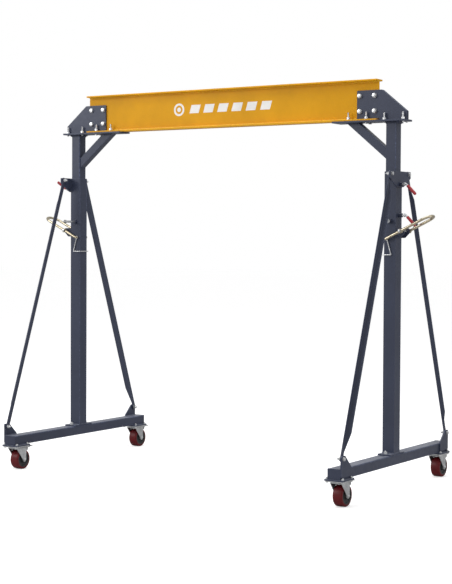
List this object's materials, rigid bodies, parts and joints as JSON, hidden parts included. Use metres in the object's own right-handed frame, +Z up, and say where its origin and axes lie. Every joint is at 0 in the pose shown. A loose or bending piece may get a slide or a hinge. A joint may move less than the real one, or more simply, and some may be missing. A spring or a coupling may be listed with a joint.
{
  "type": "portable gantry crane",
  "caption": "Portable gantry crane: two braced side frames on braked swivel casters, telescopic square columns with lock pins and lift levers, and an I-beam on bolted gussets.",
  "frame": {"origin": "on the floor below the middle of the outline, brake pedals included", "axes": "+X along the beam from the left frame to the right frame, +Y along the base tubes away from the viewer of the picture, +Z up"},
  "size_m": [2.8502, 1.436, 2.4],
  "materials": {
    "frame_paint": "satin dark blue-grey powder coat",
    "beam_paint": "satin amber yellow paint",
    "zinc": "bright zinc plating",
    "yellow_zinc": "pale yellow zinc plating",
    "core_black": "moulded black nylon",
    "tread_red": "dark red polyurethane",
    "grip_red": "dipped red vinyl"
  },
  "bodies": {
    "left_frame": {"left_base_beam": "frame_paint", "left_base_plates": "frame_paint", "left_outer_column": "frame_paint", "left_column_wings": "frame_paint", "left_near_brace": "frame_paint", "left_far_brace": "frame_paint", "left_column_brackets": "frame_paint", "left_caster_tops": "zinc", "left_frame_bolts": "zinc"},
    "top_frame": {"left_inner_column": "frame_paint", "left_head_plate": "frame_paint", "left_gussets": "frame_paint", "left_knee_brace": "frame_paint", "right_inner_column": "frame_paint", "right_head_plate": "frame_paint", "right_gussets": "frame_paint", "right_knee_brace": "frame_paint", "beam": "beam_paint", "beam_bolts": "zinc"},
    "left_lever": {"left_lever": "yellow_zinc"},
    "left_link": {"left_link": "zinc"},
    "left_cross_pin": {"left_cross_pin": "zinc"},
    "left_near_swivel": {"left_near_fork": "zinc", "left_near_axle": "zinc"},
    "left_near_wheel": {"left_near_wheel_core": "core_black", "left_near_tread": "tread_red"},
    "left_near_pedal": {"left_near_brake_pedal": "zinc"},
    "left_far_swivel": {"left_far_fork": "zinc", "left_far_axle": "zinc"},
    "left_far_wheel": {"left_far_wheel_core": "core_black", "left_far_tread": "tread_red"},
    "left_far_pedal": {"left_far_brake_pedal": "zinc"},
    "right_frame": {"right_base_beam": "frame_paint", "right_base_plates": "frame_paint", "right_outer_column": "frame_paint", "right_column_wings": "frame_paint", "right_near_brace": "frame_paint", "right_far_brace": "frame_paint", "right_column_brackets": "frame_paint", "right_caster_tops": "zinc", "right_frame_bolts": "zinc"},
    "right_lever": {"right_lever": "yellow_zinc"},
    "right_link": {"right_link": "zinc"},
    "right_cross_pin": {"right_cross_pin": "zinc"},
    "right_near_swivel": {"right_near_fork": "zinc", "right_near_axle": "zinc"},
    "right_near_wheel": {"right_near_wheel_core": "core_black", "right_near_tread": "tread_red"},
    "right_near_pedal": {"right_near_brake_pedal": "zinc"},
    "right_far_swivel": {"right_far_fork": "zinc", "right_far_axle": "zinc"},
    "right_far_wheel": {"right_far_wheel_core": "core_black", "right_far_tread": "tread_red"},
    "right_far_pedal": {"right_far_brake_pedal": "zinc"},
    "left_upper_pin": {"left_upper_lock_pin": "zinc", "left_upper_pin_grip": "grip_red"},
    "right_upper_pin": {"right_upper_lock_pin": "zinc", "right_upper_pin_grip": "grip_red"},
    "right_lower_pin": {"right_lower_lock_pin": "zinc", "right_lower_pin_grip": "grip_red"}
  },
  "joints": [
    {"name": "mast_lift", "type": "slide", "parent": "left_frame", "child": "top_frame", "axis": [0, 0, 1], "range_m": [0, 0.99]},
    {"name": "right_mast_lift", "type": "slide", "parent": "top_frame", "child": "right_frame", "axis": [0, 0, -1], "range_m": [0, 0.99]},
    {"name": "left_near_swivel_turn", "type": "hinge", "parent": "left_frame", "child": "left_near_swivel", "pos_m": [-1.165, -0.648, 0.14], "axis": [0, 0, 1], "continuous": true},
    {"name": "left_near_wheel_spin", "type": "hinge", "parent": "left_near_swivel", "child": "left_near_wheel", "pos_m": [-1.165, -0.612, 0.0625], "axis": [1, 0, 0], "continuous": true},
    {"name": "left_near_pedal_tilt", "type": "hinge", "parent": "left_near_swivel", "child": "left_near_pedal", "pos_m": [-1.165, -0.588, 0.1287], "axis": [-1, 0, 0], "range_deg": [0, 18]},
    {"name": "left_far_swivel_turn", "type": "hinge", "parent": "left_frame", "child": "left_far_swivel", "pos_m": [-1.165, 0.596, 0.14], "axis": [0, 0, 1], "continuous": true},
    {"name": "left_far_wheel_spin", "type": "hinge", "parent": "left_far_swivel", "child": "left_far_wheel", "pos_m": [-1.165, 0.632, 0.0625], "axis": [1, 0, 0], "continuous": true},
    {"name": "left_far_pedal_tilt", "type": "hinge", "parent": "left_far_swivel", "child": "left_far_pedal", "pos_m": [-1.165, 0.656, 0.1287], "axis": [-1, 0, 0], "range_deg": [0, 18]},
    {"name": "left_lever_turn", "type": "hinge", "parent": "left_frame", "child": "left_lever", "pos_m": [-1.241, -0.026, 1.517], "axis": [0, -1, 0], "range_deg": [0, 40]},
    {"name": "left_link_swing", "type": "hinge", "parent": "left_lever", "child": "left_link", "pos_m": [-1.14752, -0.026, 1.47141], "axis": [0, -1, 0], "range_deg": [0, 35]},
    {"name": "left_cross_pin_slide", "type": "slide", "parent": "left_frame", "child": "left_cross_pin", "axis": [0, 1, 0], "range_m": [0, 0.08]},
    {"name": "right_near_swivel_turn", "type": "hinge", "parent": "right_frame", "child": "right_near_swivel", "pos_m": [1.165, -0.648, 0.14], "axis": [0, 0, 1], "continuous": true},
    {"name": "right_near_wheel_spin", "type": "hinge", "parent": "right_near_swivel", "child": "right_near_wheel", "pos_m": [1.165, -0.612, 0.0625], "axis": [1, 0, 0], "continuous": true},
    {"name": "right_near_pedal_tilt", "type": "hinge", "parent": "right_near_swivel", "child": "right_near_pedal", "pos_m": [1.165, -0.588, 0.1287], "axis": [-1, 0, 0], "range_deg": [0, 18]},
    {"name": "right_far_swivel_turn", "type": "hinge", "parent": "right_frame", "child": "right_far_swivel", "pos_m": [1.165, 0.596, 0.14], "axis": [0, 0, 1], "continuous": true},
    {"name": "right_far_wheel_spin", "type": "hinge", "parent": "right_far_swivel", "child": "right_far_wheel", "pos_m": [1.165, 0.632, 0.0625], "axis": [1, 0, 0], "continuous": true},
    {"name": "right_far_pedal_tilt", "type": "hinge", "parent": "right_far_swivel", "child": "right_far_pedal", "pos_m": [1.165, 0.656, 0.1287], "axis": [-1, 0, 0], "range_deg": [0, 18]},
    {"name": "right_lever_turn", "type": "hinge", "parent": "right_frame", "child": "right_lever", "pos_m": [1.241, -0.026, 1.517], "axis": [0, 1, 0], "range_deg": [0, 40]},
    {"name": "right_link_swing", "type": "hinge", "parent": "right_lever", "child": "right_link", "pos_m": [1.14752, -0.026, 1.47141], "axis": [0, 1, 0], "range_deg": [0, 35]},
    {"name": "right_cross_pin_slide", "type": "slide", "parent": "right_frame", "child": "right_cross_pin", "axis": [0, 1, 0], "range_m": [0, 0.01]},
    {"name": "left_upper_pin_slide", "type": "slide", "parent": "left_frame", "child": "left_upper_pin", "axis": [1, 0, 0], "range_m": [0, 0.012]},
    {"name": "right_upper_pin_slide", "type": "slide", "parent": "right_frame", "child": "right_upper_pin", "axis": [-1, 0, 0], "range_m": [0, 0.012]},
    {"name": "right_lower_pin_slide", "type": "slide", "parent": "right_frame", "child": "right_lower_pin", "axis": [-1, 0, 0], "range_m": [0, 0.012]}
  ],
  "couplings": [
    {"joint": "right_mast_lift", "follows": "mast_lift", "ratio": 1}
  ]
}
